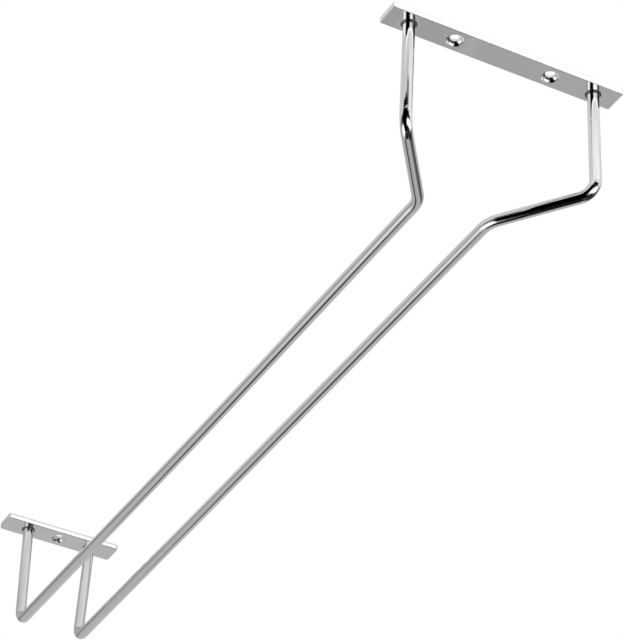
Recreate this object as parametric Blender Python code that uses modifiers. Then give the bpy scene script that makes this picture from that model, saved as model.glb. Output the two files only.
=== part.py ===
"""Hanging wine glass rack: two bent wires welded under two flat screw plates.

Metres, +Z up. The origin is the middle of the front plate's top face, the face that meets the underside of a shelf.
+Y runs back along the rails, and +X is to the right for someone who faces the front of the rack.
"""

import math

import bmesh
import bpy
from mathutils import Quaternion, Vector

COLLECTION = "hanging_wine_glass_rack"
CUTTERS = "screw_hole_cutters"

# The wire and the route of its centre line
WIRE_DIAMETER = 0.0052
FRONT_LEG_SPACING = 0.0881
FRONT_LEG_LEAN = 0.0007
FRONT_LEG_SPLAY = 0.0004
RAIL_SPACING = 0.0320
RAIL_DEPTH = 0.0562
FLARE_LENGTH = 0.0386
REAR_LEG_LEAN = 0.0016
REAR_LEG_SPLAY = 0.0013
LEG_BEND_RADIUS = 0.0070
FLARE_BEND_RADIUS = 0.0150

# The flat bars that the plates are cut from, and how far the plates stand apart
FRONT_PLATE_WIDTH = 0.0120
REAR_PLATE_WIDTH = 0.0130
PLATE_THICKNESS = 0.0028
PLATE_DISTANCE = 0.4470
FRONT_PLATE_OVERHANG = 0.0109
REAR_PLATE_OVERHANG = 0.0134
PLATE_CORNER_RADIUS = 0.0008
PLATE_EDGE_RADIUS = 0.0003

# Countersunk screw holes
SCREW_HOLE_SPACING = 0.0456
SCREW_HOLE_DIAMETER = 0.0043
COUNTERSINK_DIAMETER = 0.0075
COUNTERSINK_ANGLE = math.radians(90)

# The weld bead round the top of each leg
WELD_HEIGHT = 0.0010
WELD_SPREAD = 0.0004
WELD_TOE = 0.00015

# Pieces that touch keep this gap, and cuts run this far past the metal
SEAT_GAP = 0.0003
CUT_OVERRUN = 0.0010

# How finely round shapes are stepped
WIRE_BEVEL_RESOLUTION = 10
BEND_STEP = math.radians(7.5)
HOLE_STEPS = 32
WELD_STEPS = 24
WELD_CURVE_STEPS = 4
CORNER_SEGMENTS = 3
EDGE_SEGMENTS = 2

SIDES = {"left": -1, "right": 1}


def chrome(name, brightness, roughness):
    """Polished chrome plating, a little brighter or duller from piece to piece."""
    material = bpy.data.materials.new(name)
    material.use_nodes = True
    shader = material.node_tree.nodes["Principled BSDF"]
    shader.inputs["Base Color"].default_value = (brightness, brightness, brightness, 1)
    shader.inputs["Metallic"].default_value = 1
    shader.inputs["Roughness"].default_value = roughness
    material.diffuse_color = (brightness, brightness, brightness, 1)
    return material


def new_collection(name, shown):
    collection = bpy.data.collections.new(name)
    collection.hide_render = not shown
    bpy.context.scene.collection.children.link(collection)
    return collection


def add_object(name, data, collection, material=None):
    item = bpy.data.objects.new(name, data)
    if material:
        data.materials.append(material)
    collection.objects.link(item)
    return item


def arc_points(before, corner, after, radius):
    """Points of the arc that rounds one corner of a route."""
    back = (before - corner).normalized()
    ahead = (after - corner).normalized()
    turn = math.pi - back.angle(ahead)
    reach = radius * math.tan(turn / 2)
    centre = corner + (back + ahead).normalized() * (radius / math.cos(turn / 2))
    start = corner + back * reach - centre
    end = corner + ahead * reach - centre
    axis = start.cross(end).normalized()
    steps = math.ceil(turn / BEND_STEP)
    return [centre + Quaternion(axis, turn * i / steps) @ start for i in range(steps + 1)]


def rounded_route(corners, radii):
    """Straight runs through the corners, with an arc of its own radius at each inner one."""
    points = [corners[0]]
    for before, corner, after, radius in zip(corners, corners[1:], corners[2:], radii):
        points += arc_points(before, corner, after, radius)
    return points + [corners[-1]]


def rear_leg_place():
    """Where the middle of a rear leg's top end stands, for the right-hand wire."""
    return Vector((RAIL_SPACING / 2 + REAR_LEG_SPLAY, PLATE_DISTANCE, -PLATE_THICKNESS - SEAT_GAP))


def front_leg_place():
    """Where the middle of a front leg's top end stands, for the right-hand wire."""
    return Vector((FRONT_LEG_SPACING / 2, FRONT_LEG_LEAN, -PLATE_THICKNESS - SEAT_GAP))


def mirrored(place, side):
    return Vector((place.x * side, place.y, place.z))


def wire_corners(side):
    """The corners of one wire's centre line, from its front leg's top to its rear leg's top."""
    rail_x = RAIL_SPACING / 2
    front_top = front_leg_place()
    front_foot = Vector((front_top.x + FRONT_LEG_SPLAY, 0, -RAIL_DEPTH))
    flare_end = Vector((rail_x, FLARE_LENGTH, -RAIL_DEPTH))
    rear_foot = Vector((rail_x, PLATE_DISTANCE + REAR_LEG_LEAN, -RAIL_DEPTH))
    rear_top = rear_leg_place()
    # A leaning leg's end is cut square, so its high side would come too near to the plate.
    for top, foot in ((front_top, front_foot), (rear_top, rear_foot)):
        lean = (top - foot).angle(Vector((0, 0, 1)))
        top += (foot - top).normalized() * (WIRE_DIAMETER / 2 * math.sin(lean))
    return [mirrored(place, side) for place in (front_top, front_foot, flare_end, rear_foot, rear_top)]


def make_rod(name, side, material, collection):
    """One wire: front leg, flare, rail and rear leg, bent from a single length."""
    radii = (LEG_BEND_RADIUS, FLARE_BEND_RADIUS, LEG_BEND_RADIUS)
    route = rounded_route(wire_corners(side), radii)
    curve = bpy.data.curves.new(name, "CURVE")
    curve.dimensions = "3D"
    curve.bevel_depth = WIRE_DIAMETER / 2
    curve.bevel_resolution = WIRE_BEVEL_RESOLUTION
    curve.use_fill_caps = True
    spline = curve.splines.new("POLY")
    spline.points.add(len(route) - 1)
    for point, place in zip(spline.points, route):
        point.co = (*place, 1)
    return add_object(name, curve, collection, material)


def turned(name, profile, steps, collection, material=None):
    """A solid of revolution about Z from an (outward, up) profile, its outer side running down."""
    mesh = bpy.data.meshes.new(name)
    edges = [(i, i + 1) for i in range(len(profile) - 1)]
    on_axis = not profile[0][0]
    if not on_axis:
        edges.append((len(profile) - 1, 0))
    mesh.from_pydata([(out, 0, up) for out, up in profile], edges, [])
    item = add_object(name, mesh, collection, material)
    screw = item.modifiers.new("turn", "SCREW")
    screw.axis = "Z"
    screw.steps = steps
    screw.render_steps = steps
    screw.use_merge_vertices = on_axis
    screw.merge_threshold = SEAT_GAP / 100
    screw.use_smooth_shade = False
    return item


def screw_hole_cutter(name, place, collection):
    """A through hole that opens into a countersink on the plate's underside."""
    hole = SCREW_HOLE_DIAMETER / 2
    rim = COUNTERSINK_DIAMETER / 2
    depth = (rim - hole) / math.tan(COUNTERSINK_ANGLE / 2)
    top = CUT_OVERRUN
    bottom = -PLATE_THICKNESS
    profile = [
        (0, top),
        (hole, top),
        (hole, bottom + depth),
        (rim, bottom),
        (rim, bottom - CUT_OVERRUN),
        (0, bottom - CUT_OVERRUN),
    ]
    cutter = turned(name, profile, HOLE_STEPS, collection)
    cutter.location = place
    cutter.hide_render = True
    cutter.display_type = "WIRE"
    return cutter


def make_plate(name, length, width, middle_y, holes, material, collection, cutters):
    """A flat bar with rounded corners, softened edges and countersunk holes."""
    shape = bmesh.new()
    bmesh.ops.create_cube(shape, size=1)
    bmesh.ops.scale(shape, vec=(length, width, PLATE_THICKNESS), verts=shape.verts)
    upright = [e for e in shape.edges if abs((e.verts[0].co - e.verts[1].co).z) > PLATE_THICKNESS / 2]
    bmesh.ops.bevel(
        shape, geom=upright, offset=PLATE_CORNER_RADIUS, segments=CORNER_SEGMENTS, profile=0.5, affect="EDGES"
    )
    bmesh.ops.translate(shape, vec=(0, 0, -PLATE_THICKNESS / 2), verts=shape.verts)
    mesh = bpy.data.meshes.new(name)
    shape.to_mesh(mesh)
    shape.free()
    plate = add_object(name, mesh, collection, material)
    plate.location = (0, middle_y, 0)
    soften = plate.modifiers.new("soften_edges", "BEVEL")
    soften.width = PLATE_EDGE_RADIUS
    soften.segments = EDGE_SEGMENTS
    soften.limit_method = "ANGLE"
    for number, x in enumerate(holes, 1):
        cutter = screw_hole_cutter(f"{name}_hole_{number}", (x, middle_y, 0), cutters)
        cut = plate.modifiers.new(f"screw_hole_{number}", "BOOLEAN")
        cut.operation = "DIFFERENCE"
        cut.solver = "EXACT"
        cut.object = cutter
    return plate


def make_weld(name, place, material, collection):
    """The bead round a leg's top: full width against the plate, thinning down the wire."""
    inner = WIRE_DIAMETER / 2 + SEAT_GAP
    toe = inner + WELD_TOE
    profile = []
    for step in range(WELD_CURVE_STEPS + 1):
        angle = math.pi / 2 * step / WELD_CURVE_STEPS
        out = toe + WELD_SPREAD * (1 - math.sin(angle))
        up = -WELD_HEIGHT * (1 - math.cos(angle))
        profile.append((out, up))
    profile += [(inner, -WELD_HEIGHT), (inner, 0)]
    weld = turned(name, profile, WELD_STEPS, collection, material)
    weld.location = place
    return weld


def main():
    for item in list(bpy.data.objects):
        bpy.data.objects.remove(item)
    parts = new_collection(COLLECTION, True)
    cutters = new_collection(CUTTERS, False)
    wire_chrome = chrome("wire_chrome", 0.80, 0.05)
    plate_chrome = chrome("plate_chrome", 0.72, 0.08)
    weld_chrome = chrome("weld_chrome", 0.62, 0.15)

    front_length = FRONT_LEG_SPACING + 2 * FRONT_PLATE_OVERHANG
    rear_length = RAIL_SPACING + 2 * (REAR_LEG_SPLAY + REAR_PLATE_OVERHANG)
    front_holes = (-SCREW_HOLE_SPACING / 2, SCREW_HOLE_SPACING / 2)
    make_plate("front_plate", front_length, FRONT_PLATE_WIDTH, 0, front_holes, plate_chrome, parts, cutters)
    make_plate("rear_plate", rear_length, REAR_PLATE_WIDTH, PLATE_DISTANCE, (0,), plate_chrome, parts, cutters)
    for hand, side in SIDES.items():
        make_rod(f"{hand}_rod", side, wire_chrome, parts)
        make_weld(f"weld_front_{hand}", mirrored(front_leg_place(), side), weld_chrome, parts)
        make_weld(f"weld_rear_{hand}", mirrored(rear_leg_place(), side), weld_chrome, parts)
    for item in parts.objects:
        if item.type == "MESH":
            item.data.shade_smooth()


main()
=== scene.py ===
# %% [markdown]
# A hanging wine glass rack
#
# The real thing is screwed under a shelf. Two chromed wires hang from two flat plates and carry stemmed
# glasses upside down: a glass's foot lies on both rails, and its stem slides along the gap between them. The
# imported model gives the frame: where every piece is, in metres. This file makes the finer pieces around that
# frame, gives them their finish, and sets up a small studio.

# %% Load the frame
import math

import bmesh
import bpy
from mathutils import Matrix, Quaternion, Vector
from mathutils.geometry import tessellate_polygon


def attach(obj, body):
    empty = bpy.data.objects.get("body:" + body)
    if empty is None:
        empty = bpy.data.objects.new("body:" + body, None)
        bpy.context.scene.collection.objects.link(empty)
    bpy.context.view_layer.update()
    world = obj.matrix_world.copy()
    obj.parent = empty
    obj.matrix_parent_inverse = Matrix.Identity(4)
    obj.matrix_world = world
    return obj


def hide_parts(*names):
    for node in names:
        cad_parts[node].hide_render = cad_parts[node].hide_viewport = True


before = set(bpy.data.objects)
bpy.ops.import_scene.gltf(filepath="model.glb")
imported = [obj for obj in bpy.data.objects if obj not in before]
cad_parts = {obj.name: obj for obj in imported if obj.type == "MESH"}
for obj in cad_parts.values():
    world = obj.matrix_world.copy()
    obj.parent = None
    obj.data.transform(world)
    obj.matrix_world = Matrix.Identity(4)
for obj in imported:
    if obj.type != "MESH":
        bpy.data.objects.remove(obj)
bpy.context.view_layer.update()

# %% [markdown]
# The camera
#
# The photograph looks up at the rack from the front left, with a long lens and a slight tilt of the camera.
# A camera could be aimed with a constraint, but a plain matrix from the place, the aim and the tilt is
# easier to read and nothing has to be evaluated.

# %% Place and aim the camera
CAMERA_PLACE = Vector((-0.50156, -0.84590, -0.82953))
CAMERA_AIM = Vector((0.03498, 0.23568, 0.02094))
CAMERA_TILT = math.radians(2.759)
LENS = 174.51
SENSOR_WIDTH = 36.0


def make_camera():
    lens = bpy.data.cameras.new("photo_camera")
    lens.lens = LENS
    lens.sensor_width = SENSOR_WIDTH
    camera = bpy.data.objects.new("photo_camera", lens)
    turn = (CAMERA_AIM - CAMERA_PLACE).to_track_quat("-Z", "Y") @ Quaternion((0, 0, 1), CAMERA_TILT)
    camera.matrix_world = Matrix.Translation(CAMERA_PLACE) @ turn.to_matrix().to_4x4()
    bpy.context.scene.collection.objects.link(camera)
    bpy.context.scene.camera = camera


make_camera()
bpy.context.scene.view_settings.view_transform = "Standard"
print("camera to aim:", round((CAMERA_AIM - CAMERA_PLACE).length, 3), "m")

# %% [markdown]
# The sizes
#
# These are the sizes of the solids in the frame, so that the finer pieces stand exactly where the solids
# do. Only the small radii and the beads' own sizes are finer here than in the solids. A truly round wire
# reaches a hair lower than a solid with flat facets, so the rails are lifted by that hair and stay in the
# frame's box.

# %% Sizes, in metres
WIRE_DIAMETER = 0.0052
FRONT_LEG_SPACING = 0.0881
FRONT_LEG_LEAN = 0.0007
FRONT_LEG_SPLAY = 0.0004
RAIL_SPACING = 0.0320
RAIL_DEPTH = 0.0562
RAIL_LIFT = 0.00002
FLARE_LENGTH = 0.0386
REAR_LEG_LEAN = 0.0016
REAR_LEG_SPLAY = 0.0013
LEG_BEND_RADIUS = 0.0070
FLARE_BEND_RADIUS = 0.0150
FRONT_PLATE_WIDTH = 0.0120
REAR_PLATE_WIDTH = 0.0130
PLATE_THICKNESS = 0.0028
PLATE_DISTANCE = 0.4470
FRONT_PLATE_OVERHANG = 0.0109
REAR_PLATE_OVERHANG = 0.0134
FRONT_CORNER_RADIUS = 0.0009
REAR_CORNER_RADIUS = 0.0015
PLATE_EDGE_RADIUS = 0.0004
SCREW_HOLE_SPACING = 0.0456
SCREW_HOLE_DIAMETER = 0.0043
COUNTERSINK_DIAMETER = 0.0075
HOLE_EDGE_RADIUS = 0.00012
WELD_HEIGHT = 0.0016
WELD_SPREAD = 0.0009
WELD_BITE = 0.0001
SIDES = {"left": -1, "right": 1}
print("rails:", RAIL_SPACING, "m apart and", RAIL_DEPTH, "m down")

# %% [markdown]
# Helpers for node trees
#
# Every finish and every swept piece is a node tree. These helpers add a node with its settings and its
# inputs in one line, so that the cells below read as a list of steps. An input may be a plain value or
# another node's output.

# %% Node helpers
def add_node(tree, kind, inputs=None, **settings):
    node = tree.nodes.new(kind)
    for name, value in settings.items():
        setattr(node, name, value)
    for name, value in (inputs or {}).items():
        if isinstance(value, bpy.types.NodeSocket):
            tree.links.new(value, node.inputs[name])
        else:
            node.inputs[name].default_value = value
    return node


def add_math(tree, operation, first, second=0.0, third=0.0):
    node = add_node(tree, "ShaderNodeMath", {0: first, 1: second, 2: third}, operation=operation)
    return node.outputs[0]


def new_tree(name, kind, inputs, outputs):
    """A node group with named inputs and outputs, and its two end nodes."""
    tree = bpy.data.node_groups.new(name, kind)
    for socket_name, socket_kind, value in inputs:
        socket = tree.interface.new_socket(name=socket_name, in_out="INPUT", socket_type=socket_kind)
        if value is not None:
            socket.default_value = value
    for socket_name, socket_kind in outputs:
        tree.interface.new_socket(name=socket_name, in_out="OUTPUT", socket_type=socket_kind)
    return tree, tree.nodes.new("NodeGroupInput").outputs, tree.nodes.new("NodeGroupOutput")


# %% [markdown]
# The chrome finish
#
# Chrome plating is a mirror, but not a perfect one. The wire keeps faint lines from the die it was drawn
# through, the plating swells a little, and hands leave a thin haze. These marks could be painted as images,
# but noise has no seams and no limit of detail. A noise's scale says about how many waves lie in a metre,
# and detail adds finer ones. One shader group makes all the marks from a pattern's coordinates, and each of
# the three materials uses it with its own values.

# %% Noise for the marks
SWELL_SCALE = 210.0
CLOUD_SCALE = 55.0
PORE_SCALE = 1500.0
NOISE_MIDDLE = 0.5


def add_noise(tree, pattern, scale, detail, roughness=0.5):
    inputs = {"Vector": pattern, "Scale": scale, "Detail": detail, "Roughness": roughness}
    return add_node(tree, "ShaderNodeTexNoise", inputs).outputs[0]


# %% Roughness with haze
HAZE_START = 0.45
HAZE_FULL = 0.70
STEADY_SHARE = 0.75
LINED_SHARE = 0.5


def add_hazed_roughness(tree, given, lines, cloud):
    """A roughness that follows the draw lines and rises in patches, as where hands have been."""
    patches = add_node(
        tree,
        "ShaderNodeMapRange",
        {"Value": cloud, "From Min": HAZE_START, "From Max": HAZE_FULL},
        interpolation_type="SMOOTHSTEP",
    )
    haze = add_math(tree, "MULTIPLY", patches.outputs[0], given["Haze"])
    lined = add_math(tree, "MULTIPLY", lines, given["Roughness"])
    steady = add_math(tree, "MULTIPLY", given["Roughness"], STEADY_SHARE)
    return add_math(tree, "ADD", add_math(tree, "MULTIPLY_ADD", lined, LINED_SHARE, steady), haze)


# %% Colour with a speckle
BLUE_CAST = 1.012


def add_plated_color(tree, given, cloud, pores):
    """A grey with soft clouds and a fine speckle, and a painted highlight that brightens upright faces."""
    drift = add_math(tree, "SUBTRACT", cloud, NOISE_MIDDLE)
    clouded = add_math(tree, "MULTIPLY_ADD", drift, given["Tone Change"], given["Tone"])
    # Painted highlight: faces that stand upright get a brighter tone, so their reflections read whiter.
    normal = add_node(tree, "ShaderNodeNewGeometry").outputs["Normal"]
    facing = add_node(tree, "ShaderNodeSeparateXYZ", {0: normal}).outputs["Z"]
    upright = add_math(tree, "SUBTRACT", 1.0, add_math(tree, "ABSOLUTE", facing))
    highlighted = add_math(tree, "MULTIPLY_ADD", upright, given["Side Tone"], clouded)
    speckle = add_math(tree, "SUBTRACT", pores, NOISE_MIDDLE)
    tone = add_math(tree, "MULTIPLY_ADD", speckle, given["Grain"], highlighted)
    blue = add_math(tree, "MULTIPLY", tone, BLUE_CAST)
    return add_node(tree, "ShaderNodeCombineColor", {"Red": tone, "Green": tone, "Blue": blue}).outputs[0]


# %% The group of plating marks
def build_plating_marks():
    floats = ("Tone", "Tone Change", "Side Tone", "Grain", "Roughness", "Haze", "Line Depth", "Swell Depth")
    inputs = [("Pattern", "NodeSocketVector", None), ("Line Scale", "NodeSocketVector", (1, 1, 1))]
    inputs += [(name, "NodeSocketFloat", 0.0) for name in floats]
    outputs = [("Color", "NodeSocketColor"), ("Roughness", "NodeSocketFloat"), ("Height", "NodeSocketFloat")]
    tree, given, out = new_tree("plating_marks", "ShaderNodeTree", inputs, outputs)
    pattern = given["Pattern"]
    stretch = {0: pattern, 1: given["Line Scale"]}
    stretched = add_node(tree, "ShaderNodeVectorMath", stretch, operation="MULTIPLY").outputs[0]
    lines = add_noise(tree, stretched, scale=1.0, detail=3.0, roughness=0.65)
    swell = add_noise(tree, pattern, SWELL_SCALE, detail=1.0)
    cloud = add_noise(tree, pattern, CLOUD_SCALE, detail=4.0)
    pores = add_noise(tree, pattern, PORE_SCALE, detail=2.0)
    height = add_math(tree, "MULTIPLY", lines, given["Line Depth"])
    height = add_math(tree, "MULTIPLY_ADD", swell, given["Swell Depth"], height)
    tree.links.new(add_plated_color(tree, given, cloud, pores), out.inputs["Color"])
    tree.links.new(add_hazed_roughness(tree, given, lines, cloud), out.inputs["Roughness"])
    tree.links.new(height, out.inputs["Height"])
    return tree


plating_marks = build_plating_marks()
print("plating marks:", len(plating_marks.nodes), "nodes")

# %% [markdown]
# Three chromes
#
# The wires read their pattern from an attribute that runs along them, so the draw lines follow every bend.
# The plates are rolled flat bar, so their lines run along X, and object coordinates do. Their upright faces
# get a painted highlight, a brighter tone so that their reflections read whiter, and Grain gives the rolled
# faces a fine speckle. The beads are dark, partly because the plating is thin in the corner round a weld and
# partly by painted shade of that corner, and they are lumpy under the plating, so they swell more.

# %% The chrome materials
def make_chrome(name, attribute, bump, **values):
    material = bpy.data.materials.new(name)
    material.use_nodes = True
    tree = material.node_tree
    shader = tree.nodes["Principled BSDF"]
    shader.inputs["Metallic"].default_value = 1
    if attribute:
        pattern = add_node(tree, "ShaderNodeAttribute", attribute_name=attribute).outputs["Vector"]
    else:
        pattern = add_node(tree, "ShaderNodeTexCoord").outputs["Object"]
    marks = add_node(tree, "ShaderNodeGroup", node_tree=plating_marks)
    tree.links.new(pattern, marks.inputs["Pattern"])
    for socket, value in values.items():
        marks.inputs[socket.replace("_", " ").title()].default_value = value
    relief = {"Height": marks.outputs["Height"], "Strength": 1.0, "Distance": bump}
    bumped = add_node(tree, "ShaderNodeBump", relief).outputs[0]
    tree.links.new(marks.outputs["Color"], shader.inputs["Base Color"])
    tree.links.new(marks.outputs["Roughness"], shader.inputs["Roughness"])
    tree.links.new(bumped, shader.inputs["Normal"])
    return material


MICRON = 0.000001
wire_chrome = make_chrome(
    "chromed_wire", "wire_lay", MICRON, line_scale=(2600, 2600, 14),
    tone=0.83, tone_change=0.05, roughness=0.045, haze=0.03, line_depth=0.25, swell_depth=1.5,
)
# The plates' upright faces get a painted highlight, a brighter tone.
plate_chrome = make_chrome(
    "chromed_plate", None, MICRON, line_scale=(25, 2200, 2200),
    tone=0.78, tone_change=0.05, side_tone=0.17, grain=0.2, roughness=0.08, haze=0.05, line_depth=0.35,
    swell_depth=2.0,
)
# The beads' low tone is partly the thin plating of a weld and partly painted shade of the corner round it.
weld_chrome = make_chrome(
    "chromed_bead", None, MICRON, line_scale=(1500, 1500, 1500),
    tone=0.22, tone_change=0.10, roughness=0.05, haze=0.04, line_depth=0.8, swell_depth=3.0,
)
print("chromes:", wire_chrome.name, plate_chrome.name, weld_chrome.name)

# %% [markdown]
# Keeping what a tree makes
#
# A modifier's tree gets its sizes through named inputs, which are set by their identifiers before the first
# evaluation. The result is then frozen into a plain mesh at the origin, as the frame wants its pieces. A
# mesh that comes out with its faces inwards has a negative volume, and is turned round.

# %% Run a tree and keep its result
CUBIC_MILLIMETRES = 1e9


def turn_outwards(mesh):
    shape = bmesh.new()
    shape.from_mesh(mesh)
    if shape.calc_volume(signed=True) < 0:
        bmesh.ops.reverse_faces(shape, faces=shape.faces)
        shape.to_mesh(mesh)
    print(mesh.name, len(shape.faces), "faces,", round(abs(shape.calc_volume()) * CUBIC_MILLIMETRES), "mm3")
    shape.free()


def baked(name, base_mesh, tree, values):
    item = bpy.data.objects.new(name, base_mesh)
    bpy.context.scene.collection.objects.link(item)
    modifier = item.modifiers.new("make", "NODES")
    modifier.node_group = tree
    for socket in tree.interface.items_tree:
        if socket.in_out == "INPUT" and socket.name in values:
            modifier[socket.identifier] = values[socket.name]
    bpy.context.view_layer.update()
    graph = bpy.context.evaluated_depsgraph_get()
    mesh = bpy.data.meshes.new_from_object(item.evaluated_get(graph), depsgraph=graph)
    item.modifiers.remove(modifier)
    item.data = mesh
    mesh.name = name
    turn_outwards(mesh)
    return item


# %% [markdown]
# The two wires
#
# Each wire is bent from one length of 5.2 mm rod: front leg, flare, rail and rear leg. It could be made as
# separate cylinders and elbows, but a real one has no seams. So a tree rounds the corners of a simple path
# with a radius of its own at each corner, and sweeps a circle along it. No two wires come off a bending jig
# quite alike, so each has its own foot and flare, up to 1.6 mm out, and the left rail bows by 0.8 mm.

# %% The path's corners
HAND_BENT = {
    "left": {"foot": (-0.0003, 0, 0), "flare": (0.0001, 0.0016, 0)},
    "right": {"foot": (-0.0004, -0.0004, 0.0007), "flare": (0.0001, -0.0002, 0)},
}
RAIL_BOW = {"left": 0.0008, "right": 0.0}


def wire_corners(hand):
    """Corner points of a wire's middle line, each with the radius of its bend."""
    side = SIDES[hand]
    rail_x = side * RAIL_SPACING / 2
    leg_x = side * FRONT_LEG_SPACING / 2
    foot_x = leg_x + side * FRONT_LEG_SPLAY
    rear_x = side * (RAIL_SPACING / 2 + REAR_LEG_SPLAY)
    top = -PLATE_THICKNESS + WELD_BITE
    low = -RAIL_DEPTH + RAIL_LIFT
    foot = Vector((foot_x, 0, low)) + Vector(HAND_BENT[hand]["foot"])
    flare = Vector((rail_x, FLARE_LENGTH, low)) + Vector(HAND_BENT[hand]["flare"])
    return [
        (Vector((leg_x, FRONT_LEG_LEAN, top)), 0),
        (foot, LEG_BEND_RADIUS),
        (flare, FLARE_BEND_RADIUS),
        (Vector((rail_x, PLATE_DISTANCE + REAR_LEG_LEAN, low)), LEG_BEND_RADIUS),
        (Vector((rear_x, PLATE_DISTANCE, top)), 0),
    ]


def path_mesh(name, corners):
    """The path as a mesh of edges, whose points carry their bend's radius as an attribute."""
    mesh = bpy.data.meshes.new(name)
    mesh.from_pydata([place for place, _ in corners], [(i, i + 1) for i in range(len(corners) - 1)], [])
    radius = mesh.attributes.new("bend_radius", "FLOAT", "POINT")
    for item, (_, bend) in zip(radius.data, corners):
        item.value = bend
    return mesh


# %% [markdown]
# Bend the path
#
# Fillet Curve rounds each corner by the radius that its point carries, in even steps. The straights are
# then cut into spans of a few millimetres. That lets the bow move the rail, and rings close to each bend
# keep the shading of the long straights true.

# %% Round and bow the path
def recall(tree, name, kind):
    """The value that was stored on the points under this name."""
    return add_node(tree, "GeometryNodeInputNamedAttribute", {"Name": name}, data_type=kind).outputs[0]


def add_rounded_path(tree, given):
    path = add_node(tree, "GeometryNodeMeshToCurve", {"Mesh": given["Geometry"]}).outputs[0]
    radius = recall(tree, "bend_radius", "FLOAT")
    fillet = {"Curve": path, "Count": given["Bend Steps"], "Radius": radius}
    rounded = add_node(tree, "GeometryNodeFilletCurve", fillet, mode="POLY").outputs[0]
    here = add_node(tree, "GeometryNodeInputPosition").outputs[0]
    following = add_node(tree, "GeometryNodeOffsetPointInCurve", {"Offset": 1}).outputs["Point Index"]
    next_point = {"Index": following, "Value": here}
    there = add_node(tree, "GeometryNodeFieldAtIndex", next_point, data_type="FLOAT_VECTOR").outputs[0]
    span = add_node(tree, "ShaderNodeVectorMath", {0: here, 1: there}, operation="DISTANCE").outputs["Value"]
    cuts = add_math(tree, "FLOOR", add_math(tree, "DIVIDE", span, given["Ring Spacing"]))
    return add_node(tree, "GeometryNodeSubdivideCurve", {"Curve": rounded, "Cuts": cuts}).outputs[0]


def add_bow(tree, given, path):
    """The path with its rail pushed sideways, most in the middle and not at all at its ends."""
    here = add_node(tree, "GeometryNodeInputPosition").outputs[0]
    along = add_node(tree, "ShaderNodeSeparateXYZ", {0: here}).outputs["Y"]
    reach = {"Value": along, "From Min": given["Bow Start"], "From Max": given["Bow End"]}
    share = add_node(tree, "ShaderNodeMapRange", reach).outputs[0]
    wave = add_math(tree, "SINE", add_math(tree, "MULTIPLY", share, math.pi))
    bow = add_math(tree, "MULTIPLY", add_math(tree, "MULTIPLY", wave, wave), given["Bow"])
    shift = add_node(tree, "ShaderNodeCombineXYZ", {"X": bow}).outputs[0]
    return add_node(tree, "GeometryNodeSetPosition", {"Geometry": path, "Offset": shift}).outputs[0]


# %% [markdown]
# Sweep the wire
#
# Curve to Mesh sweeps a circle along the path. Before that, the path's points keep how far along they are,
# and the circle's points keep where they are across. Their sum is the attribute wire_lay, which the draw
# lines follow. The ends are cut square, so the edges round them are marked sharp.

# %% Sweep a circle along the path
CAP_ANGLE = math.radians(40)


def store(tree, geometry, name, value, kind):
    """The geometry, with a value stored on its points under this name."""
    inputs = {"Geometry": geometry, "Name": name, "Value": value}
    return add_node(tree, "GeometryNodeStoreNamedAttribute", inputs, data_type=kind).outputs[0]


def add_wire_tube(tree, given, path):
    length = add_node(tree, "GeometryNodeSplineParameter").outputs["Length"]
    radius = add_math(tree, "MULTIPLY", given["Wire Diameter"], 0.5)
    ring = {"Resolution": given["Sides"], "Radius": radius}
    circle = add_node(tree, "GeometryNodeCurvePrimitiveCircle", ring).outputs[0]
    here = add_node(tree, "GeometryNodeInputPosition").outputs[0]
    measured = store(tree, path, "run", length, "FLOAT")
    section = store(tree, circle, "across", here, "FLOAT_VECTOR")
    sweep = {"Curve": measured, "Profile Curve": section, "Fill Caps": True}
    tube = add_node(tree, "GeometryNodeCurveToMesh", sweep).outputs[0]
    run = add_node(tree, "ShaderNodeCombineXYZ", {"Z": recall(tree, "run", "FLOAT")}).outputs[0]
    across = recall(tree, "across", "FLOAT_VECTOR")
    lay = add_node(tree, "ShaderNodeVectorMath", {0: across, 1: run}, operation="ADD").outputs[0]
    return store(tree, tube, "wire_lay", lay, "FLOAT_VECTOR")


def add_square_ends(tree, tube):
    smooth = add_node(tree, "GeometryNodeSetShadeSmooth", {"Geometry": tube}, domain="FACE").outputs[0]
    angle = add_node(tree, "GeometryNodeInputMeshEdgeAngle").outputs["Unsigned Angle"]
    bend = {"A": angle, "B": CAP_ANGLE}
    sharp = add_node(tree, "FunctionNodeCompare", bend, operation="GREATER_THAN").outputs[0]
    edges = {"Geometry": smooth, "Selection": sharp, "Shade Smooth": False}
    return add_node(tree, "GeometryNodeSetShadeSmooth", edges, domain="EDGE").outputs[0]


# %% [markdown]
# The whole tree
#
# The tree's inputs are the sizes that a maker would want to change. It ends in Realize Instances and Set
# Material, as every tree here does, so that the kept mesh is complete and has its finish.

# %% Build the tree of the wires
WIRE_SIDES = 48
BEND_STEPS = 26
RING_SPACING = 0.003


def add_finish(tree, out, mesh, material):
    real = add_node(tree, "GeometryNodeRealizeInstances", {"Geometry": mesh}).outputs[0]
    painted = add_node(tree, "GeometryNodeSetMaterial", {"Geometry": real, "Material": material}).outputs[0]
    tree.links.new(painted, out.inputs[0])


def build_bent_wire():
    inputs = [
        ("Geometry", "NodeSocketGeometry", None),
        ("Wire Diameter", "NodeSocketFloat", WIRE_DIAMETER),
        ("Sides", "NodeSocketInt", WIRE_SIDES),
        ("Bend Steps", "NodeSocketInt", BEND_STEPS),
        ("Ring Spacing", "NodeSocketFloat", RING_SPACING),
        ("Bow", "NodeSocketFloat", 0.0),
        ("Bow Start", "NodeSocketFloat", FLARE_LENGTH),
        ("Bow End", "NodeSocketFloat", PLATE_DISTANCE),
        ("Material", "NodeSocketMaterial", None),
    ]
    tree, given, out = new_tree("bent_wire", "GeometryNodeTree", inputs, [("Geometry", "NodeSocketGeometry")])
    path = add_bow(tree, given, add_rounded_path(tree, given))
    wire = add_square_ends(tree, add_wire_tube(tree, given, path))
    add_finish(tree, out, wire, given["Material"])
    return tree


bent_wire = build_bent_wire()
print("bent wire:", len(bent_wire.nodes), "nodes")

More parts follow.
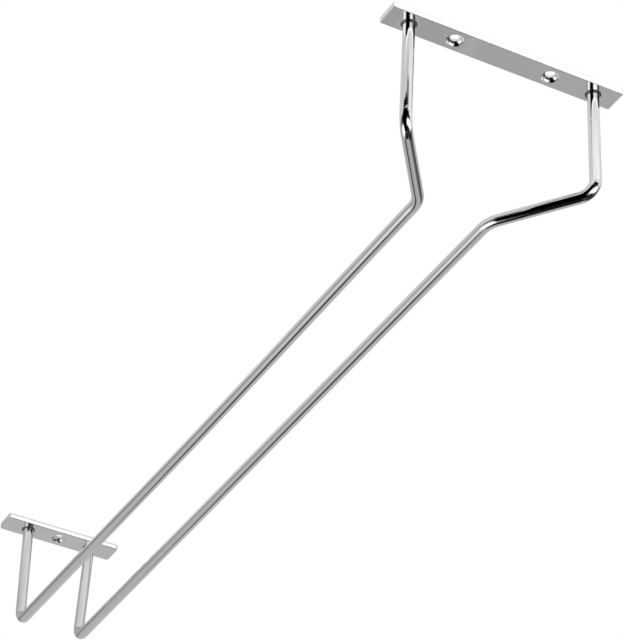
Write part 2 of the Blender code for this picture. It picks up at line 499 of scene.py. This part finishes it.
# %% Make both wires
wires = {}
for hand in SIDES:
    wires[hand] = baked(
        f"{hand}_wire", path_mesh(f"{hand}_path", wire_corners(hand)), bent_wire,
        {"Bow": RAIL_BOW[hand], "Material": wire_chrome},
    )

# %% [markdown]
# The weld beads
#
# Each leg is welded to its plate all round, and the bead shows as a small collar that thins down the wire.
# Its section is a hollow curve, the fillet that molten metal makes. It could be turned with a Screw modifier,
# but a tree can sweep the section round the leg and also let it wander a little, as a bead does, by a noise
# with a seed of its own for each bead.

# %% Let a bead wander
RIPPLE_SCALE = 620.0


def add_ripple(tree, given, bead, radius):
    """Pushes the points that lie outside the wire a little in or out."""
    here = add_node(tree, "GeometryNodeInputPosition").outputs[0]
    wander = {"Vector": here, "W": given["Ripple Seed"], "Scale": RIPPLE_SCALE, "Detail": 1.0}
    noise = add_node(tree, "ShaderNodeTexNoise", wander, noise_dimensions="4D").outputs[0]
    flat = add_node(tree, "ShaderNodeVectorMath", {0: here, 1: (1, 1, 0)}, operation="MULTIPLY").outputs[0]
    outward = add_node(tree, "ShaderNodeVectorMath", {0: flat}, operation="NORMALIZE").outputs[0]
    reach = add_node(tree, "ShaderNodeVectorMath", {0: flat}, operation="LENGTH").outputs["Value"]
    showing = add_math(tree, "GREATER_THAN", reach, radius)
    swing = add_math(tree, "MULTIPLY", add_math(tree, "SUBTRACT", noise, NOISE_MIDDLE), given["Ripple"])
    push = {0: outward, "Scale": add_math(tree, "MULTIPLY", swing, showing)}
    offset = add_node(tree, "ShaderNodeVectorMath", push, operation="SCALE").outputs[0]
    return add_node(tree, "GeometryNodeSetPosition", {"Geometry": bead, "Offset": offset}).outputs[0]


# %% Build the tree of the beads
BEAD_STEPS = 72
RIPPLE = 0.00005


def build_weld_bead():
    inputs = [
        ("Geometry", "NodeSocketGeometry", None),
        ("Wire Diameter", "NodeSocketFloat", WIRE_DIAMETER),
        ("Steps Round", "NodeSocketInt", BEAD_STEPS),
        ("Ripple", "NodeSocketFloat", RIPPLE),
        ("Ripple Seed", "NodeSocketFloat", 0.0),
        ("Place", "NodeSocketVector", (0, 0, 0)),
        ("Material", "NodeSocketMaterial", None),
    ]
    tree, given, out = new_tree("weld_bead", "GeometryNodeTree", inputs, [("Geometry", "NodeSocketGeometry")])
    section = add_node(tree, "GeometryNodeMeshToCurve", {"Mesh": given["Geometry"]}).outputs[0]
    radius = add_math(tree, "MULTIPLY", given["Wire Diameter"], 0.5)
    ring = {"Resolution": given["Steps Round"], "Radius": radius}
    circle = add_node(tree, "GeometryNodeCurvePrimitiveCircle", ring).outputs[0]
    level = add_node(tree, "GeometryNodeSetCurveNormal", {"Curve": circle}, mode="Z_UP").outputs[0]
    bead = add_node(tree, "GeometryNodeCurveToMesh", {"Curve": level, "Profile Curve": section}).outputs[0]
    rippled = add_ripple(tree, given, bead, radius)
    placed = {"Geometry": rippled, "Translation": given["Place"]}
    moved = add_node(tree, "GeometryNodeTransform", placed).outputs[0]
    smooth = add_node(tree, "GeometryNodeSetShadeSmooth", {"Geometry": moved}, domain="FACE").outputs[0]
    add_finish(tree, out, smooth, given["Material"])
    return tree


weld_bead = build_weld_bead()
print("weld bead:", len(weld_bead.nodes), "nodes")

# %% [markdown]
# The section and the places
#
# The outer side of the section is a quarter of an ellipse that curves in towards the corner of wire and
# plate. The rest of it closes inside the metal of both, a tenth of a millimetre deep, so that no gap can
# show. The legs' top ends give the places.

# %% Make the four beads
SECTION_STEPS = 18


def weld_section(name):
    """A closed outline, out from the wire's surface and up from the plate's underside."""
    points = []
    for step in range(SECTION_STEPS + 1):
        angle = math.pi / 2 * step / SECTION_STEPS
        points.append((WELD_SPREAD * (1 - math.sin(angle)), -WELD_HEIGHT * (1 - math.cos(angle))))
    points += [(-WELD_BITE, -WELD_HEIGHT), (-WELD_BITE, WELD_BITE), (WELD_SPREAD, WELD_BITE)]
    mesh = bpy.data.meshes.new(name)
    count = len(points)
    mesh.from_pydata([(out, up, 0) for out, up in points], [(i, (i + 1) % count) for i in range(count)], [])
    return mesh


welds = {}
leg_tops = {
    "front": (FRONT_LEG_SPACING / 2, FRONT_LEG_LEAN),
    "rear": (RAIL_SPACING / 2 + REAR_LEG_SPLAY, PLATE_DISTANCE),
}
for end, (x, y) in leg_tops.items():
    for hand, side in SIDES.items():
        name = f"bead_{end}_{hand}"
        place = (x * side, y, -PLATE_THICKNESS)
        values = {"Place": place, "Ripple Seed": float(len(welds)), "Material": weld_chrome}
        welds[f"weld_{end}_{hand}"] = baked(name, weld_section(name), weld_bead, values)

# %% [markdown]
# The screw plates
#
# The plates are cut from flat bar of one thickness, 12 mm wide in front and 13 mm behind, and drilled for
# countersunk screws. The countersinks are shallow bowls in which the tool has left faint rings. They could
# be cut with booleans, but a mirror shows every stray normal. So each plate is built ring by ring, with
# every edge rolled over by a small radius, and each point keeps the exact normal of the surface there.

# %% Rings round the outline
CORNER_STEPS = 8
EDGE_STEPS = 5


def rolled(centre, radius, start, end, steps):
    """(out, up, normal out, normal up) along a rolled edge, whose normal turns from start to end degrees."""
    ring = []
    for step in range(steps + 1):
        angle = math.radians(start + (end - start) * step / steps)
        out, up = math.cos(angle), math.sin(angle)
        ring.append((centre[0] + radius * out, centre[1] + radius * up, out, up))
    return ring


def outline(length, width, corner, inset):
    """The bar's outline, drawn inwards by inset: (x, y, normal x, normal y), anticlockwise."""
    radius = corner - inset
    points = []
    for quarter, (side_x, side_y) in enumerate(((1, 1), (-1, 1), (-1, -1), (1, -1))):
        centre = (side_x * (length / 2 - corner), side_y * (width / 2 - corner))
        for step in range(CORNER_STEPS + 1):
            angle = math.pi / 2 * (quarter + step / CORNER_STEPS)
            out_x, out_y = math.cos(angle), math.sin(angle)
            points.append((centre[0] + radius * out_x, centre[1] + radius * out_y, out_x, out_y))
    return points


def outer_rings(length, width, corner):
    """Rings of (place, normal), from the underside up round the plate's edge to its top."""
    roll, thick = PLATE_EDGE_RADIUS, PLATE_THICKNESS
    lower = rolled((-roll, -thick + roll), roll, -90, 0, EDGE_STEPS)
    upper = rolled((-roll, -roll), roll, 0, 90, EDGE_STEPS)
    for out, up, normal_out, normal_up in lower + upper:
        points = outline(length, width, corner, -out)
        yield [
            ((x, y, up), (out_x * normal_out, out_y * normal_out, normal_up))
            for x, y, out_x, out_y in points
        ]


# %% [markdown]
# The screw holes
#
# A countersink for a wood screw is usually a cone with a slope of 45 degrees. The photograph's ones mirror
# more of the room than a cone would, so here the wall is a bowl about that slope: steep at its rim, shallow
# towards the bore, with fine rings from the tool. It could be sketched as a curve and turned, but a list of
# points with their normals joins the plate's rings at once.

# %% Rings round a screw hole
HOLE_SIDES = 80
HOLE_ROLL_STEPS = 4
COUNTERSINK_SLOPE = 45.0
DISH_TURN = 50.0
DISH_STEPS = 32
TOOL_RINGS = 3.5
TOOL_RING_DEPTH = 0.000008
STEEP = COUNTERSINK_SLOPE - DISH_TURN / 2
SHALLOW = COUNTERSINK_SLOPE + DISH_TURN / 2


def dish(rim, bottom, bore):
    """The countersink's wall, a shallow bowl with a few tool rings, from its rim in to the bore."""
    start, end = math.radians(STEEP), math.radians(SHALLOW)
    chord = (rim - bore) / math.cos(math.radians(COUNTERSINK_SLOPE))
    radius = chord / (2 * math.sin((end - start) / 2))
    centre = (rim - radius * math.cos(start), bottom - radius * math.sin(start))
    for step in range(DISH_STEPS + 1):
        share = step / DISH_STEPS
        angle = start + (end - start) * share
        out, up = math.cos(angle), math.sin(angle)
        wave = 2 * math.pi * TOOL_RINGS * share
        reach = radius + TOOL_RING_DEPTH * math.sin(wave)
        slope = TOOL_RING_DEPTH * math.cos(wave) * 2 * math.pi * TOOL_RINGS / (end - start)
        along = Vector((out, up)) * slope + Vector((-up, out)) * reach
        along.normalize()
        yield centre[0] + reach * out, centre[1] + reach * up, -along.y, along.x


def hole_section():
    """The hole's wall from the underside to the top, in the same form as a rolled edge."""
    roll, thick = HOLE_EDGE_RADIUS, PLATE_THICKNESS
    bore, rim = SCREW_HOLE_DIAMETER / 2, COUNTERSINK_DIAMETER / 2
    low, slant = math.radians(STEEP), math.radians(SHALLOW)
    rim_roll = roll * math.tan(math.radians(90 - STEEP) / 2)
    bore_roll = roll * math.tan(math.radians(SHALLOW) / 2)
    dish_rim = rim - rim_roll * math.sin(low)
    dish_bottom = -thick + rim_roll * math.cos(low)
    wall = list(dish(dish_rim, dish_bottom, bore + bore_roll * math.sin(slant)))
    shoulder = wall[-1][1] + bore_roll * math.cos(slant)
    section = rolled((rim + rim_roll, -thick + roll), roll, 270, 180 + STEEP, HOLE_ROLL_STEPS)
    section += wall[1:-1]
    section += rolled((bore + roll, shoulder + bore_roll), roll, 180 + SHALLOW, 180, HOLE_ROLL_STEPS)
    section += rolled((bore + roll, -roll), roll, 180, 90, EDGE_STEPS)
    return section


def hole_rings(hole_x):
    """Rings of (place, normal), from the underside up through the hole to the top."""
    for out, up, normal_out, normal_up in hole_section():
        ring = []
        for step in range(HOLE_SIDES):
            angle = 2 * math.pi * step / HOLE_SIDES
            out_x, out_y = math.cos(angle), math.sin(angle)
            place = (hole_x + out * out_x, out * out_y, up)
            ring.append((place, (out_x * normal_out, out_y * normal_out, normal_up)))
        yield ring


print("hole section:", len(hole_section()), "points")

# %% [markdown]
# Join the rings
#
# Neighbouring rings are joined by quads. The flat underside and top are what lies between the outline's
# ring and the holes' rings, and tessellate_polygon fills such a shape with triangles. All of it goes into
# one mesh, and the exact normals are set at the end.

# %% Walls and flat faces of a plate
def add_wall(points, normals, faces, rings, inward):
    """Adds quads between the rings. Returns the first and last rings' point numbers."""
    loops = []
    for ring in rings:
        loops.append(range(len(points), len(points) + len(ring)))
        points.extend(place for place, _ in ring)
        normals.extend(normal for _, normal in ring)
    for low, high in zip(loops, loops[1:]):
        for i in range(len(low)):
            j = (i + 1) % len(low)
            quad = [low[i], low[j], high[j], high[i]]
            faces.append(quad[::-1] if inward else quad)
    return loops[0], loops[-1]


def add_flat(points, faces, loops, up):
    """Adds the triangles between an outline and its holes, facing up (1) or down (-1)."""
    numbers = [n for loop in loops for n in loop]
    for tri in tessellate_polygon([[Vector(points[n]) for n in loop] for loop in loops]):
        a, b, c = (numbers[i] for i in tri)
        facing = (Vector(points[b]) - Vector(points[a])).cross(Vector(points[c]) - Vector(points[a])).z
        faces.append((a, b, c) if facing * up > 0 else (a, c, b))


# %% Make both plates
def make_plate(name, length, width, corner, middle_y, holes):
    points, normals, faces = [], [], []
    walls = [add_wall(points, normals, faces, outer_rings(length, width, corner), False)]
    walls += [add_wall(points, normals, faces, hole_rings(x), True) for x in holes]
    add_flat(points, faces, [first for first, _ in walls], -1)
    add_flat(points, faces, [last for _, last in walls], 1)
    mesh = bpy.data.meshes.new(name)
    mesh.from_pydata([(x, y + middle_y, z) for x, y, z in points], [], faces)
    mesh.shade_smooth()
    mesh.normals_split_custom_set_from_vertices(normals)
    mesh.materials.append(plate_chrome)
    item = bpy.data.objects.new(name, mesh)
    bpy.context.scene.collection.objects.link(item)
    print(name, len(mesh.polygons), "faces")
    return item


front_length = FRONT_LEG_SPACING + 2 * FRONT_PLATE_OVERHANG
rear_length = RAIL_SPACING + 2 * (REAR_LEG_SPLAY + REAR_PLATE_OVERHANG)
front_holes = (-SCREW_HOLE_SPACING / 2, SCREW_HOLE_SPACING / 2)
front_plate = make_plate(
    "front_screw_plate", front_length, FRONT_PLATE_WIDTH, FRONT_CORNER_RADIUS, middle_y=0, holes=front_holes
)
rear_plate = make_plate(
    "rear_screw_plate", rear_length, REAR_PLATE_WIDTH, REAR_CORNER_RADIUS, middle_y=PLATE_DISTANCE, holes=(0,)
)

# %% [markdown]
# Hand the pieces to the frame
#
# Each finer piece stands for one solid of the frame and rides on the only body.
# The plain solids could have been dressed and kept, but a mirror would show their facets.

# %% Replace the plain solids
stand_ins = {"left_rod": wires["left"], "right_rod": wires["right"]}
stand_ins |= {"front_plate": front_plate, "rear_plate": rear_plate}
stand_ins |= welds
for node, piece in stand_ins.items():
    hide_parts(node)
    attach(piece, "root")
print("replaced:", len(stand_ins), "nodes")

# %% [markdown]
# The studio
#
# Chrome has no colour of its own. What it shows is the room, so the room is built with care: a pale floor
# well below, a plain white surround, soft lamps, and cards round the rack. An image of a real room could be
# used, but a room of plain parts can be matched to the photograph part by part. The surround lights the rack
# at a plain level, and only the camera and the mirrors see it as pure white. Light Path tells the rays apart.

# %% The white surround
PLAIN_LEVEL = 0.55
SEEN_LEVEL = 1.0
WHITE = (1, 1, 1, 1)


def make_surround():
    world = bpy.data.worlds.new("surround")
    bpy.context.scene.world = world
    world.use_nodes = True
    tree = world.node_tree
    tree.nodes.clear()
    path = add_node(tree, "ShaderNodeLightPath").outputs
    seen = add_math(tree, "MAXIMUM", path["Is Camera Ray"], path["Is Glossy Ray"])
    seen = add_math(tree, "MAXIMUM", seen, path["Is Transmission Ray"])
    plain = add_node(tree, "ShaderNodeBackground", {"Color": WHITE, "Strength": PLAIN_LEVEL})
    white = add_node(tree, "ShaderNodeBackground", {"Color": WHITE, "Strength": SEEN_LEVEL})
    mix = add_node(tree, "ShaderNodeMixShader", {0: seen, 1: plain.outputs[0], 2: white.outputs[0]})
    add_node(tree, "ShaderNodeOutputWorld", {"Surface": mix.outputs[0]})


make_surround()
print("surround: level", PLAIN_LEVEL, "and seen as", SEEN_LEVEL)

# %% [markdown]
# The floor
#
# The camera stands below the rack, so a floor just under the rack would be in its way. This one lies further
# down, and its underside is clear, so that it never hides the rack in a view from below. A plane with a plain
# matt paint is all that it needs.

# %% Lay the floor
FLOOR_LEVEL = -1.6
FLOOR_SIDE = 30.0
FLOOR_GREY = (0.86, 0.86, 0.86, 1)
FLOOR_ROUGHNESS = 0.9
FLOOR_SHINE = 0.1


def floor_paint():
    material = bpy.data.materials.new("floor_paint")
    material.use_nodes = True
    tree = material.node_tree
    shader = tree.nodes["Principled BSDF"]
    shader.inputs["Base Color"].default_value = FLOOR_GREY
    shader.inputs["Roughness"].default_value = FLOOR_ROUGHNESS
    shader.inputs["Specular IOR Level"].default_value = FLOOR_SHINE
    behind = add_node(tree, "ShaderNodeNewGeometry").outputs["Backfacing"]
    clear = add_node(tree, "ShaderNodeBsdfTransparent")
    mix = add_node(tree, "ShaderNodeMixShader", {0: behind, 1: shader.outputs[0], 2: clear.outputs[0]})
    tree.links.new(mix.outputs[0], tree.nodes["Material Output"].inputs["Surface"])
    return material


def make_floor():
    half = FLOOR_SIDE / 2
    mesh = bpy.data.meshes.new("floor")
    corners = [(-half, -half), (half, -half), (half, half), (-half, half)]
    mesh.from_pydata([(x, y, FLOOR_LEVEL) for x, y in corners], [], [(0, 1, 2, 3)])
    mesh.materials.append(floor_paint())
    floor = bpy.data.objects.new("floor", mesh)
    bpy.context.scene.collection.objects.link(floor)


make_floor()
print("floor:", FLOOR_SIDE, "m wide, at", FLOOR_LEVEL, "m")

# %% [markdown]
# The lamps
#
# Two large area lamps over the rack light the floor and anything matt. Chrome would mirror them as bright
# squares in the wrong places, so they are hidden from reflections, and the cards do that work.

# %% Hang the lamps
LAMP_AIM = Vector((0, 0.2, 0))
LAMP_SIZE = 3.0


def add_lamp(name, place, power):
    lamp = bpy.data.lights.new(name, "AREA")
    lamp.size = LAMP_SIZE
    lamp.energy = power
    item = bpy.data.objects.new(name, lamp)
    item.location = place
    item.rotation_euler = (LAMP_AIM - Vector(place)).to_track_quat("-Z", "Y").to_euler()
    item.visible_glossy = False
    item.visible_camera = False
    bpy.context.scene.collection.objects.link(item)
    print(name, power, "W")


add_lamp("key_lamp", place=(-2.0, -2.5, 4.5), power=110)
add_lamp("fill_lamp", place=(3.0, 1.0, 3.5), power=50)

# %% [markdown]
# The cards
#
# Photographers place cards round a mirror finish, pale ones and black ones, to give it its light and dark
# stripes. The camera doesn't see these cards, only the chrome does. A card's edges can fade, as the edge of
# a soft box does, and its light can change from corner to corner. One shader group works out both from the
# card's own UV map: how much the card covers, and how bright it is there.

# %% The group that shades a card
def build_card_light():
    names = ("Left Fade", "Right Fade", "Bottom Fade", "Top Fade")
    levels = ("Bottom Left", "Bottom Right", "Top Left", "Top Right")
    inputs = [("UV", "NodeSocketVector", None)]
    inputs += [(name, "NodeSocketFloat", 0.0) for name in (*names, *levels)]
    outputs = [("Cover", "NodeSocketFloat"), ("Level", "NodeSocketFloat")]
    tree, given, out = new_tree("card_light", "ShaderNodeTree", inputs, outputs)
    split = add_node(tree, "ShaderNodeSeparateXYZ", {0: given["UV"]})
    u, v = split.outputs["X"], split.outputs["Y"]
    distances = (u, add_math(tree, "SUBTRACT", 1.0, u), v, add_math(tree, "SUBTRACT", 1.0, v))
    cover = 1.0
    for name, distance in zip(names, distances):
        edge = {"Value": distance, "From Max": given[name]}
        fade = add_node(tree, "ShaderNodeMapRange", edge, interpolation_type="SMOOTHSTEP")
        cover = add_math(tree, "MULTIPLY", cover, fade.outputs[0])

    def between(low, high, share):
        return add_math(tree, "MULTIPLY_ADD", add_math(tree, "SUBTRACT", high, low), share, low)

    bottom = between(given["Bottom Left"], given["Bottom Right"], u)
    top = between(given["Top Left"], given["Top Right"], u)
    tree.links.new(cover, out.inputs["Cover"])
    tree.links.new(between(bottom, top, v), out.inputs["Level"])
    return tree


card_light = build_card_light()
print("card light:", len(card_light.nodes), "nodes")

# %% Make a card
SHARP = 0.002
LEAST_VALUE = 0.0001
cards = []


def card_material(name, levels, fades):
    """levels: one, or bottom left, bottom right, top left, top right. fades: left, right, bottom, top."""
    if isinstance(levels, (int, float)):
        levels = (levels,) * 4
    material = bpy.data.materials.new(name)
    material.use_nodes = True
    tree = material.node_tree
    tree.nodes.clear()
    uv = add_node(tree, "ShaderNodeUVMap").outputs[0]
    light = add_node(tree, "ShaderNodeGroup", node_tree=card_light)
    tree.links.new(uv, light.inputs["UV"])
    for socket, value in zip(list(light.inputs)[1:], (*fades, *levels)):
        socket.default_value = max(value, LEAST_VALUE)
    clear = add_node(tree, "ShaderNodeBsdfTransparent").outputs[0]
    glow = add_node(tree, "ShaderNodeEmission", {"Strength": light.outputs["Level"]}).outputs[0]
    mix = add_node(tree, "ShaderNodeMixShader", {0: light.outputs["Cover"], 1: clear, 2: glow}).outputs[0]
    add_node(tree, "ShaderNodeOutputMaterial", {"Surface": mix})
    return material


def add_card(name, place_of, columns, rows, levels, fades):
    """A grid whose points come from place_of(u, v), left to right and bottom to top."""
    mesh = bpy.data.meshes.new(name)
    shares = [(column / columns, row / rows) for row in range(rows + 1) for column in range(columns + 1)]
    step = columns + 1
    firsts = [row * step + column for row in range(rows) for column in range(columns)]
    faces = [(first, first + 1, first + step + 1, first + step) for first in firsts]
    mesh.from_pydata([place_of(u, v) for u, v in shares], [], faces)
    layer = mesh.uv_layers.new(name="card")
    for loop in mesh.loops:
        layer.data[loop.index].uv = shares[loop.vertex_index]
    mesh.materials.append(card_material(name, levels, fades))
    card = bpy.data.objects.new(name, mesh)
    bpy.context.scene.collection.objects.link(card)
    card.visible_camera = False
    card.visible_diffuse = False
    card.visible_shadow = False
    cards.append(card)


def part_way(ends, share):
    return ends[0] + (ends[1] - ends[0]) * share


# %% [markdown]
# Level sheets over the rack
#
# The upper legs and the plates' edges would mirror the shelf's underside, so level sheets lie just over the
# rack. They glow with painted light and shade of that underside: brighter pools, darker patches where the rack
# shades it, and bright strips that give the plates' faces a painted highlight. A straight sheet is as wide as
# across says, to the left and right of its heading, and as long as ahead says. Its bottom is the edge where
# ahead starts. Some are cut as parts of a ring round the left front leg, because a ring's edge runs level
# across a round leg, where a straight edge would curve.

# %% Straight sheets and parts of a ring
ARC_COLUMNS = 32
ARC_ROWS = 8


def add_sheet(name, lift, heading, across, ahead, levels, fades):
    turn = math.radians(heading)
    forward = Vector((math.sin(turn), math.cos(turn), 0))
    sideways = Vector((-math.cos(turn), math.sin(turn), 0))

    def place_of(u, v):
        flat = sideways * part_way(across, u) + forward * part_way(ahead, v)
        return flat + Vector((0, 0, lift))

    add_card(name, place_of, 1, 1, levels, fades)


def add_arc_sheet(name, lift, centre, bearings, reaches, levels, fades):
    """Part of a ring round a centre. Its bottom is the inner edge."""

    def place_of(u, v):
        bearing = math.radians(part_way(bearings, u))
        reach = part_way(reaches, v)
        return Vector((centre[0] + reach * math.sin(bearing), centre[1] + reach * math.cos(bearing), lift))

    add_card(name, place_of, ARC_COLUMNS, ARC_ROWS, levels, fades)


# %% Lay the sheets
add_sheet(
    "overhead_board", lift=0.0015, heading=208, across=(-0.9, 1.5), ahead=(0.072, -1.04),
    levels=(0.3, 1.45, 0, 0.95), fades=(SHARP, SHARP, SHARP, SHARP),
)
add_sheet(
    "board_glow", lift=0.0014, heading=175, across=(-0.049, 0.12), ahead=(0.11, -0.0055),
    levels=(0.4, 1.8, 1.35, 0.5), fades=(SHARP, 0.35, 0.04, 0.45),
)
add_sheet(
    "board_patch", lift=0.0013, heading=208, across=(-0.41, 0.43), ahead=(-0.06, -0.395),
    levels=(0.7, 0.2, 1.5, 0), fades=(0.55, SHARP, 0.25, 0.07),
)
add_sheet(
    "left_shade", lift=0.00128, heading=224, across=(-0.245, -0.034), ahead=(0.072, -0.05),
    levels=(0.95, 0.6, 0.45, 0.8), fades=(0.15, SHARP, 0.1, 0.45),
)
add_sheet(
    "rear_glow", lift=0.00125, heading=191, across=(-0.15, 0.072), ahead=(-0.42, -0.59),
    levels=0.45, fades=(0.2, 0.25, 0.02, 0.35),
)
add_sheet(
    "black_corner", lift=0.0012, heading=145, across=(-0.9, -0.049), ahead=(0.0605, 0.9),
    levels=0, fades=(SHARP, 0.05, SHARP, SHARP),
)
add_arc_sheet(
    "dark_line", lift=0.00122, centre=(-0.044, 0.0005), bearings=(-197, -150), reaches=(0.0375, 0.0645),
    levels=(0.6, 0, 0, 0.45), fades=(0.2, 0.25, 0.3, 0.15),
)
add_arc_sheet(
    "thin_line", lift=0.0012, centre=(-0.044, 0.0005), bearings=(-162, -156), reaches=(0.022, 0.057),
    levels=0.06, fades=(0.35, 0.35, 0.3, SHARP),
)
add_arc_sheet(
    "black_arc", lift=0.00118, centre=(-0.0445, 0.004), bearings=(-176, -107), reaches=(0.0555, 0.9),
    levels=0, fades=(SHARP, 0.1, SHARP, SHARP),
)
add_arc_sheet(
    "white_arc", lift=0.00115, centre=(-0.0505, 0.0005), bearings=(-182, -118), reaches=(0.06, 0.063),
    levels=1.05, fades=(0.05, 0.05, 0.1, 0.4),
)
# Painted highlights: bright strips that the plates' front faces mirror.
add_sheet(
    "front_plate_strip", lift=0.0011, heading=180, across=(-0.08, 0.08), ahead=(0.007, 0.0135),
    levels=1.1, fades=(SHARP, SHARP, 0.1, 0.3),
)
add_sheet(
    "rear_plate_strip", lift=0.0011, heading=180, across=(-0.05, 0.05), ahead=(-0.439, -0.4335),
    levels=(0.5, 0.5, 1.8, 1.8), fades=(SHARP, SHARP, 0.05, 0.3),
)
print("sheets:", len(cards))

# %% [markdown]
# Paper, soft boxes and black flags
#
# Bent cards stand round the rack. Each one is part of a sphere round a point between the rails, from one
# bearing to another (0 is straight back along the rails, 90 is to the right) and from one height angle to
# another. A positive slant raises its right side. A black card is called a flag. The nearer cards cover the
# ones behind them.

# %% Part of a sphere
CARD_CENTRE = Vector((0, 0.12, -0.05))
BENT_COLUMNS = 24
BENT_ROWS = 16


def add_bent_card(name, bearings, heights, distance, levels, fades, slant=0.0):
    def place_of(u, v):
        bearing = math.radians(part_way(bearings, u))
        height = math.radians(part_way(heights, v) + slant * (u - 0.5))
        flat = math.cos(height)
        direction = Vector((math.sin(bearing) * flat, math.cos(bearing) * flat, math.sin(height)))
        return CARD_CENTRE + distance * direction

    add_card(name, place_of, BENT_COLUMNS, BENT_ROWS, levels, fades)


# %% Stand the cards
add_bent_card(
    "back_paper", bearings=(-104, 66), heights=(-63, 43), distance=0.8,
    levels=(0.75, 0.45, 0.15, 0.55), fades=(SHARP, 0.2, SHARP, 0.35), slant=19,
)
add_bent_card(
    "paper_right", bearings=(-7, 61), heights=(-55, 7), distance=0.79,
    levels=(0.2, 0.5, 0.8, 0.55), fades=(0.35, 0.2, 0.2, 0.2), slant=-6,
)
add_bent_card(
    "horizon", bearings=(-61, 9), heights=(-10, 29), distance=0.78,
    levels=0.15, fades=(0.25, 0.2, 0.4, 0.2), slant=8,
)
add_bent_card(
    "back_line", bearings=(-52, -29), heights=(-3, 20), distance=0.775,
    levels=0.5, fades=(0.3, 0.3, 0.4, 0.4), slant=8,
)
add_bent_card(
    "black_left", bearings=(-200, -101), heights=(-64, 25), distance=0.77,
    levels=0, fades=(0.02, 0.07, SHARP, SHARP),
)
add_bent_card(
    "black_right", bearings=(46, 180), heights=(-64, 34), distance=0.76,
    levels=0.03, fades=(0.3, 0.15, SHARP, 0.6), slant=-30,
)
add_bent_card(
    "right_flag", bearings=(66, 116), heights=(-14, 7), distance=0.755,
    levels=0.1, fades=(0.2, 0.1, 0.2, 0.25),
)
add_bent_card(
    "side_flag", bearings=(64, 80), heights=(-18, 20), distance=0.75,
    levels=0.06, fades=(0.1, 0.04, SHARP, 0.3), slant=-1,
)
add_bent_card(
    "black_below", bearings=(-180, 180), heights=(-90, -57), distance=0.74,
    levels=(0, 0, 0, 0.06), fades=(SHARP, 0.02, 0.05, 0.15),
)
add_bent_card(
    "black_front", bearings=(146, 260), heights=(4, 60), distance=0.73,
    levels=0.05, fades=(SHARP, 0.2, SHARP, 0.02), slant=16,
)
add_bent_card(
    "front_white", bearings=(93, 247), heights=(11, 20), distance=0.66,
    levels=0.9, fades=(0.2, 0.03, 0.08, 0.03), slant=9,
)
add_bent_card(
    "front_soft_box", bearings=(111, 204), heights=(-40, 1), distance=0.62,
    levels=2.45, fades=(0.4, 0.3, 0.55, 0.45), slant=-12,
)
add_bent_card(
    "left_soft_box", bearings=(-104, -16), heights=(-73, -6), distance=0.58,
    levels=1.35, fades=(0.05, 0.6, 0.15, 0.5), slant=3,
)
add_bent_card(
    "dark_streak", bearings=(-20, 18), heights=(-69, -22), distance=0.41,
    levels=0, fades=(0.1, 0.3, 0.4, 0.3), slant=44,
)
add_bent_card(
    "near_left_flag", bearings=(-127, -40), heights=(-20, 21), distance=0.44,
    levels=0, fades=(SHARP, 0.9, SHARP, 0.4), slant=23,
)
print("cards:", len(cards))
